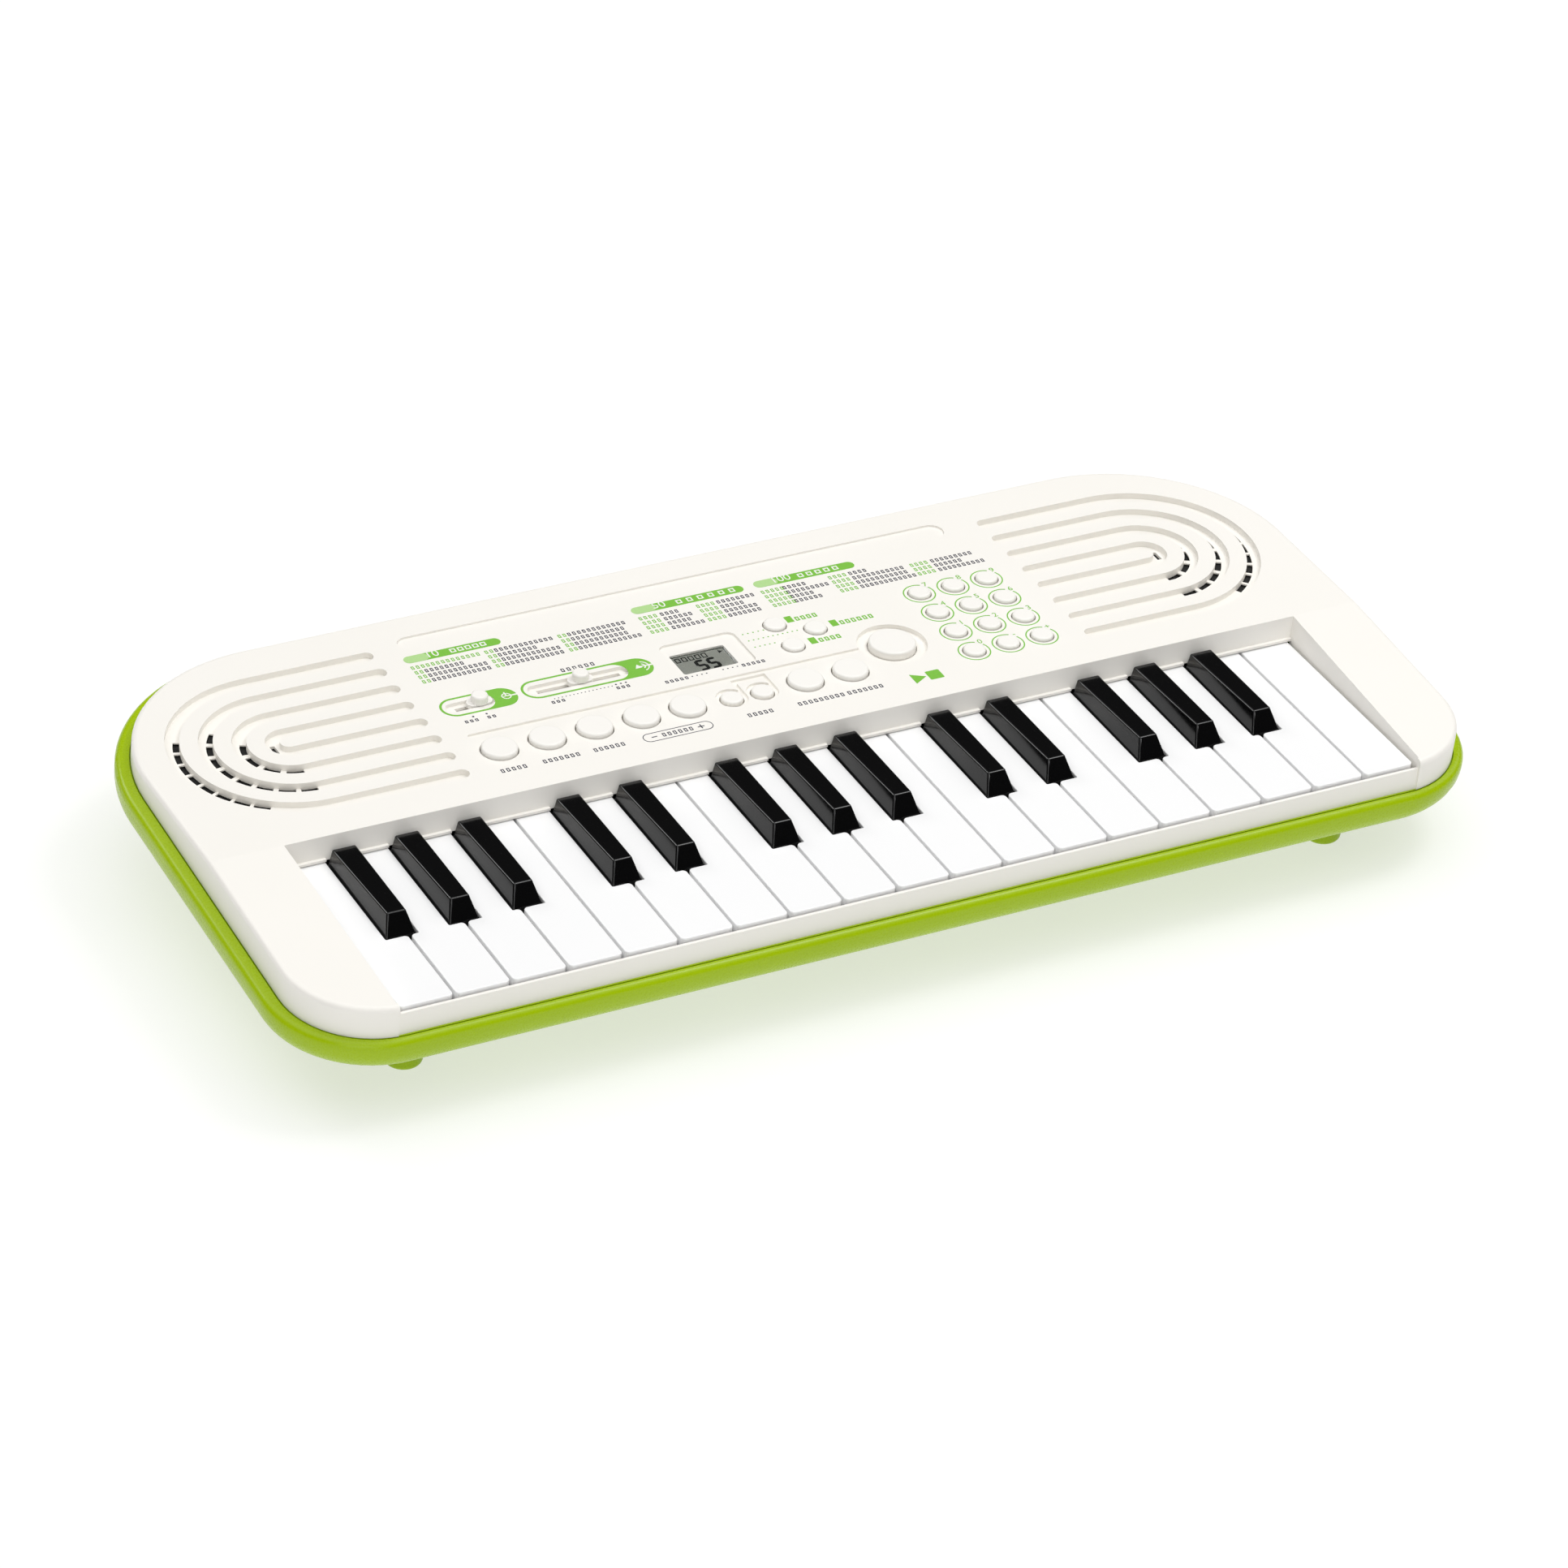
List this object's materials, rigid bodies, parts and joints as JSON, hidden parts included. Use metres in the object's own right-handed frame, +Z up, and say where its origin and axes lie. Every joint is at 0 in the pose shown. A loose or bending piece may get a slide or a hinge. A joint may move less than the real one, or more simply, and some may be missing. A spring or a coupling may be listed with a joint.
{
  "type": "toy electronic keyboard",
  "caption": "Toy electronic keyboard with mini piano keys, a white upper case, a green tray, speaker grilles at both ends and a panel of buttons and sliders.",
  "frame": {"origin": "centre of the footprint, on the floor that the feet stand on", "axes": "+X to the player's right along the keys, +Y from the player to the back, +Z up"},
  "size_m": [0.441, 0.2078, 0.0544],
  "materials": {
    "case_white": "fine satin moulding",
    "tray_green": "semi-gloss",
    "key_white": "semi-gloss",
    "key_black": "gloss",
    "cap_white": "satin",
    "display_glass": "clear",
    "display_grey": "matt",
    "speaker_black": "matt",
    "board_green": "satin",
    "contact_rubber": "matt",
    "frame_black": "matt",
    "contact_steel": "nickel plated"
  },
  "bodies": {
    "case": {"upper_case": "case_white", "lower_case": "tray_green", "display_window": "display_glass", "display_panel": "display_grey", "speakers": "speaker_black", "circuit_boards": "board_green", "contact_rubbers": "contact_rubber", "key_frame": "frame_black", "battery_contacts": "contact_steel", "rear_jacks": "frame_black", "case_screws": "contact_steel"},
    "power_switch_knob": {"power_switch_knob": "cap_white"},
    "volume_slider_knob": {"volume_slider_knob": "cap_white"},
    "battery_cover": {"battery_cover": "tray_green"},
    "start_stop_button": {"start_stop_button": "cap_white"},
    "piano_button": {"piano_button": "cap_white"},
    "trumpet_button": {"trumpet_button": "cap_white"},
    "drums_button": {"drums_button": "cap_white"},
    "octave_down_button": {"octave_down_button": "cap_white"},
    "octave_up_button": {"octave_up_button": "cap_white"},
    "metronome_button": {"metronome_button": "cap_white"},
    "function_button": {"function_button": "cap_white"},
    "tempo_down_button": {"tempo_down_button": "cap_white"},
    "tempo_up_button": {"tempo_up_button": "cap_white"},
    "tone_button": {"tone_button": "cap_white"},
    "rhythm_button": {"rhythm_button": "cap_white"},
    "song_button": {"song_button": "cap_white"},
    "number_keypad": {"number_keypad": "cap_white"},
    "white_key_01_f": {"white_key_01_f": "key_white"},
    "black_key_02_f_sharp": {"black_key_02_f_sharp": "key_black"},
    "white_key_03_g": {"white_key_03_g": "key_white"},
    "black_key_04_g_sharp": {"black_key_04_g_sharp": "key_black"},
    "white_key_05_a": {"white_key_05_a": "key_white"},
    "black_key_06_a_sharp": {"black_key_06_a_sharp": "key_black"},
    "white_key_07_b": {"white_key_07_b": "key_white"},
    "white_key_08_c": {"white_key_08_c": "key_white"},
    "black_key_09_c_sharp": {"black_key_09_c_sharp": "key_black"},
    "white_key_10_d": {"white_key_10_d": "key_white"},
    "black_key_11_d_sharp": {"black_key_11_d_sharp": "key_black"},
    "white_key_12_e": {"white_key_12_e": "key_white"},
    "white_key_13_f": {"white_key_13_f": "key_white"},
    "black_key_14_f_sharp": {"black_key_14_f_sharp": "key_black"},
    "white_key_15_g": {"white_key_15_g": "key_white"},
    "black_key_16_g_sharp": {"black_key_16_g_sharp": "key_black"},
    "white_key_17_a": {"white_key_17_a": "key_white"},
    "black_key_18_a_sharp": {"black_key_18_a_sharp": "key_black"},
    "white_key_19_b": {"white_key_19_b": "key_white"},
    "white_key_20_c": {"white_key_20_c": "key_white"},
    "black_key_21_c_sharp": {"black_key_21_c_sharp": "key_black"},
    "white_key_22_d": {"white_key_22_d": "key_white"},
    "black_key_23_d_sharp": {"black_key_23_d_sharp": "key_black"},
    "white_key_24_e": {"white_key_24_e": "key_white"},
    "white_key_25_f": {"white_key_25_f": "key_white"},
    "black_key_26_f_sharp": {"black_key_26_f_sharp": "key_black"},
    "white_key_27_g": {"white_key_27_g": "key_white"},
    "black_key_28_g_sharp": {"black_key_28_g_sharp": "key_black"},
    "white_key_29_a": {"white_key_29_a": "key_white"},
    "black_key_30_a_sharp": {"black_key_30_a_sharp": "key_black"},
    "white_key_31_b": {"white_key_31_b": "key_white"},
    "white_key_32_c": {"white_key_32_c": "key_white"}
  },
  "joints": [
    {"name": "power_switch_slide", "type": "slide", "parent": "case", "child": "power_switch_knob", "axis": [1, 0, 0], "range_m": [-0.0056, 0]},
    {"name": "volume_slide", "type": "slide", "parent": "case", "child": "volume_slider_knob", "axis": [1, 0, 0], "range_m": [-0.0132, 0.0118]},
    {"name": "battery_cover_lift_off", "type": "slide", "parent": "case", "child": "battery_cover", "axis": [0, 0, -1], "range_m": [0, 0.04]},
    {"name": "start_stop_press", "type": "slide", "parent": "case", "child": "start_stop_button", "axis": [0, 0, -1], "range_m": [0, 0.0012], "stiffness_N_per_m": 400, "springref_m": -0.0008},
    {"name": "piano_press", "type": "slide", "parent": "case", "child": "piano_button", "axis": [0, 0, -1], "range_m": [0, 0.0012], "stiffness_N_per_m": 400, "springref_m": -0.0008},
    {"name": "trumpet_press", "type": "slide", "parent": "case", "child": "trumpet_button", "axis": [0, 0, -1], "range_m": [0, 0.0012], "stiffness_N_per_m": 400, "springref_m": -0.0008},
    {"name": "drums_press", "type": "slide", "parent": "case", "child": "drums_button", "axis": [0, 0, -1], "range_m": [0, 0.0012], "stiffness_N_per_m": 400, "springref_m": -0.0008},
    {"name": "octave_down_press", "type": "slide", "parent": "case", "child": "octave_down_button", "axis": [0, 0, -1], "range_m": [0, 0.0012], "stiffness_N_per_m": 400, "springref_m": -0.0008},
    {"name": "octave_up_press", "type": "slide", "parent": "case", "child": "octave_up_button", "axis": [0, 0, -1], "range_m": [0, 0.0012], "stiffness_N_per_m": 400, "springref_m": -0.0008},
    {"name": "metronome_press", "type": "slide", "parent": "case", "child": "metronome_button", "axis": [0, 0, -1], "range_m": [0, 0.0012], "stiffness_N_per_m": 400, "springref_m": -0.0008},
    {"name": "function_press", "type": "slide", "parent": "case", "child": "function_button", "axis": [0, 0, -1], "range_m": [0, 0.0012], "stiffness_N_per_m": 400, "springref_m": -0.0008},
    {"name": "tempo_down_press", "type": "slide", "parent": "case", "child": "tempo_down_button", "axis": [0, 0, -1], "range_m": [0, 0.0012], "stiffness_N_per_m": 400, "springref_m": -0.0008},
    {"name": "tempo_up_press", "type": "slide", "parent": "case", "child": "tempo_up_button", "axis": [0, 0, -1], "range_m": [0, 0.0012], "stiffness_N_per_m": 400, "springref_m": -0.0008},
    {"name": "tone_press", "type": "slide", "parent": "case", "child": "tone_button", "axis": [0, 0, -1], "range_m": [0, 0.0012], "stiffness_N_per_m": 400, "springref_m": -0.0008},
    {"name": "rhythm_press", "type": "slide", "parent": "case", "child": "rhythm_button", "axis": [0, 0, -1], "range_m": [0, 0.0012], "stiffness_N_per_m": 400, "springref_m": -0.0008},
    {"name": "song_press", "type": "slide", "parent": "case", "child": "song_button", "axis": [0, 0, -1], "range_m": [0, 0.0012], "stiffness_N_per_m": 400, "springref_m": -0.0008},
    {"name": "number_keypad_press", "type": "slide", "parent": "case", "child": "number_keypad", "axis": [0, 0, -1], "range_m": [0, 0.0012], "stiffness_N_per_m": 900, "springref_m": -0.0008},
    {"name": "white_key_01_f_press", "type": "hinge", "parent": "case", "child": "white_key_01_f", "pos_m": [0, 0.0214, 0.0374], "axis": [1, 0, 0], "range_deg": [0, 2], "stiffness_Nm_per_rad": 0.3, "springref_deg": -5.73},
    {"name": "black_key_02_f_sharp_press", "type": "hinge", "parent": "case", "child": "black_key_02_f_sharp", "pos_m": [0, 0.0214, 0.0374], "axis": [1, 0, 0], "range_deg": [0, 2.6], "stiffness_Nm_per_rad": 0.3, "springref_deg": -5.73},
    {"name": "white_key_03_g_press", "type": "hinge", "parent": "case", "child": "white_key_03_g", "pos_m": [0, 0.0214, 0.0374], "axis": [1, 0, 0], "range_deg": [0, 2], "stiffness_Nm_per_rad": 0.3, "springref_deg": -5.73},
    {"name": "black_key_04_g_sharp_press", "type": "hinge", "parent": "case", "child": "black_key_04_g_sharp", "pos_m": [0, 0.0214, 0.0374], "axis": [1, 0, 0], "range_deg": [0, 2.6], "stiffness_Nm_per_rad": 0.3, "springref_deg": -5.73},
    {"name": "white_key_05_a_press", "type": "hinge", "parent": "case", "child": "white_key_05_a", "pos_m": [0, 0.0214, 0.0374], "axis": [1, 0, 0], "range_deg": [0, 2], "stiffness_Nm_per_rad": 0.3, "springref_deg": -5.73},
    {"name": "black_key_06_a_sharp_press", "type": "hinge", "parent": "case", "child": "black_key_06_a_sharp", "pos_m": [0, 0.0214, 0.0374], "axis": [1, 0, 0], "range_deg": [0, 2.6], "stiffness_Nm_per_rad": 0.3, "springref_deg": -5.73},
    {"name": "white_key_07_b_press", "type": "hinge", "parent": "case", "child": "white_key_07_b", "pos_m": [0, 0.0214, 0.0374], "axis": [1, 0, 0], "range_deg": [0, 2], "stiffness_Nm_per_rad": 0.3, "springref_deg": -5.73},
    {"name": "white_key_08_c_press", "type": "hinge", "parent": "case", "child": "white_key_08_c", "pos_m": [0, 0.0214, 0.0374], "axis": [1, 0, 0], "range_deg": [0, 2], "stiffness_Nm_per_rad": 0.3, "springref_deg": -5.73},
    {"name": "black_key_09_c_sharp_press", "type": "hinge", "parent": "case", "child": "black_key_09_c_sharp", "pos_m": [0, 0.0214, 0.0374], "axis": [1, 0, 0], "range_deg": [0, 2.6], "stiffness_Nm_per_rad": 0.3, "springref_deg": -5.73},
    {"name": "white_key_10_d_press", "type": "hinge", "parent": "case", "child": "white_key_10_d", "pos_m": [0, 0.0214, 0.0374], "axis": [1, 0, 0], "range_deg": [0, 2], "stiffness_Nm_per_rad": 0.3, "springref_deg": -5.73},
    {"name": "black_key_11_d_sharp_press", "type": "hinge", "parent": "case", "child": "black_key_11_d_sharp", "pos_m": [0, 0.0214, 0.0374], "axis": [1, 0, 0], "range_deg": [0, 2.6], "stiffness_Nm_per_rad": 0.3, "springref_deg": -5.73},
    {"name": "white_key_12_e_press", "type": "hinge", "parent": "case", "child": "white_key_12_e", "pos_m": [0, 0.0214, 0.0374], "axis": [1, 0, 0], "range_deg": [0, 2], "stiffness_Nm_per_rad": 0.3, "springref_deg": -5.73},
    {"name": "white_key_13_f_press", "type": "hinge", "parent": "case", "child": "white_key_13_f", "pos_m": [0, 0.0214, 0.0374], "axis": [1, 0, 0], "range_deg": [0, 2], "stiffness_Nm_per_rad": 0.3, "springref_deg": -5.73},
    {"name": "black_key_14_f_sharp_press", "type": "hinge", "parent": "case", "child": "black_key_14_f_sharp", "pos_m": [0, 0.0214, 0.0374], "axis": [1, 0, 0], "range_deg": [0, 2.6], "stiffness_Nm_per_rad": 0.3, "springref_deg": -5.73},
    {"name": "white_key_15_g_press", "type": "hinge", "parent": "case", "child": "white_key_15_g", "pos_m": [0, 0.0214, 0.0374], "axis": [1, 0, 0], "range_deg": [0, 2], "stiffness_Nm_per_rad": 0.3, "springref_deg": -5.73},
    {"name": "black_key_16_g_sharp_press", "type": "hinge", "parent": "case", "child": "black_key_16_g_sharp", "pos_m": [0, 0.0214, 0.0374], "axis": [1, 0, 0], "range_deg": [0, 2.6], "stiffness_Nm_per_rad": 0.3, "springref_deg": -5.73},
    {"name": "white_key_17_a_press", "type": "hinge", "parent": "case", "child": "white_key_17_a", "pos_m": [0, 0.0214, 0.0374], "axis": [1, 0, 0], "range_deg": [0, 2], "stiffness_Nm_per_rad": 0.3, "springref_deg": -5.73},
    {"name": "black_key_18_a_sharp_press", "type": "hinge", "parent": "case", "child": "black_key_18_a_sharp", "pos_m": [0, 0.0214, 0.0374], "axis": [1, 0, 0], "range_deg": [0, 2.6], "stiffness_Nm_per_rad": 0.3, "springref_deg": -5.73},
    {"name": "white_key_19_b_press", "type": "hinge", "parent": "case", "child": "white_key_19_b", "pos_m": [0, 0.0214, 0.0374], "axis": [1, 0, 0], "range_deg": [0, 2], "stiffness_Nm_per_rad": 0.3, "springref_deg": -5.73},
    {"name": "white_key_20_c_press", "type": "hinge", "parent": "case", "child": "white_key_20_c", "pos_m": [0, 0.0214, 0.0374], "axis": [1, 0, 0], "range_deg": [0, 2], "stiffness_Nm_per_rad": 0.3, "springref_deg": -5.73},
    {"name": "black_key_21_c_sharp_press", "type": "hinge", "parent": "case", "child": "black_key_21_c_sharp", "pos_m": [0, 0.0214, 0.0374], "axis": [1, 0, 0], "range_deg": [0, 2.6], "stiffness_Nm_per_rad": 0.3, "springref_deg": -5.73},
    {"name": "white_key_22_d_press", "type": "hinge", "parent": "case", "child": "white_key_22_d", "pos_m": [0, 0.0214, 0.0374], "axis": [1, 0, 0], "range_deg": [0, 2], "stiffness_Nm_per_rad": 0.3, "springref_deg": -5.73},
    {"name": "black_key_23_d_sharp_press", "type": "hinge", "parent": "case", "child": "black_key_23_d_sharp", "pos_m": [0, 0.0214, 0.0374], "axis": [1, 0, 0], "range_deg": [0, 2.6], "stiffness_Nm_per_rad": 0.3, "springref_deg": -5.73},
    {"name": "white_key_24_e_press", "type": "hinge", "parent": "case", "child": "white_key_24_e", "pos_m": [0, 0.0214, 0.0374], "axis": [1, 0, 0], "range_deg": [0, 2], "stiffness_Nm_per_rad": 0.3, "springref_deg": -5.73},
    {"name": "white_key_25_f_press", "type": "hinge", "parent": "case", "child": "white_key_25_f", "pos_m": [0, 0.0214, 0.0374], "axis": [1, 0, 0], "range_deg": [0, 2], "stiffness_Nm_per_rad": 0.3, "springref_deg": -5.73},
    {"name": "black_key_26_f_sharp_press", "type": "hinge", "parent": "case", "child": "black_key_26_f_sharp", "pos_m": [0, 0.0214, 0.0374], "axis": [1, 0, 0], "range_deg": [0, 2.6], "stiffness_Nm_per_rad": 0.3, "springref_deg": -5.73},
    {"name": "white_key_27_g_press", "type": "hinge", "parent": "case", "child": "white_key_27_g", "pos_m": [0, 0.0214, 0.0374], "axis": [1, 0, 0], "range_deg": [0, 2], "stiffness_Nm_per_rad": 0.3, "springref_deg": -5.73},
    {"name": "black_key_28_g_sharp_press", "type": "hinge", "parent": "case", "child": "black_key_28_g_sharp", "pos_m": [0, 0.0214, 0.0374], "axis": [1, 0, 0], "range_deg": [0, 2.6], "stiffness_Nm_per_rad": 0.3, "springref_deg": -5.73},
    {"name": "white_key_29_a_press", "type": "hinge", "parent": "case", "child": "white_key_29_a", "pos_m": [0, 0.0214, 0.0374], "axis": [1, 0, 0], "range_deg": [0, 2], "stiffness_Nm_per_rad": 0.3, "springref_deg": -5.73},
    {"name": "black_key_30_a_sharp_press", "type": "hinge", "parent": "case", "child": "black_key_30_a_sharp", "pos_m": [0, 0.0214, 0.0374], "axis": [1, 0, 0], "range_deg": [0, 2.6], "stiffness_Nm_per_rad": 0.3, "springref_deg": -5.73},
    {"name": "white_key_31_b_press", "type": "hinge", "parent": "case", "child": "white_key_31_b", "pos_m": [0, 0.0214, 0.0374], "axis": [1, 0, 0], "range_deg": [0, 2], "stiffness_Nm_per_rad": 0.3, "springref_deg": -5.73},
    {"name": "white_key_32_c_press", "type": "hinge", "parent": "case", "child": "white_key_32_c", "pos_m": [0, 0.0214, 0.0374], "axis": [1, 0, 0], "range_deg": [0, 2], "stiffness_Nm_per_rad": 0.3, "springref_deg": -5.73}
  ]
}
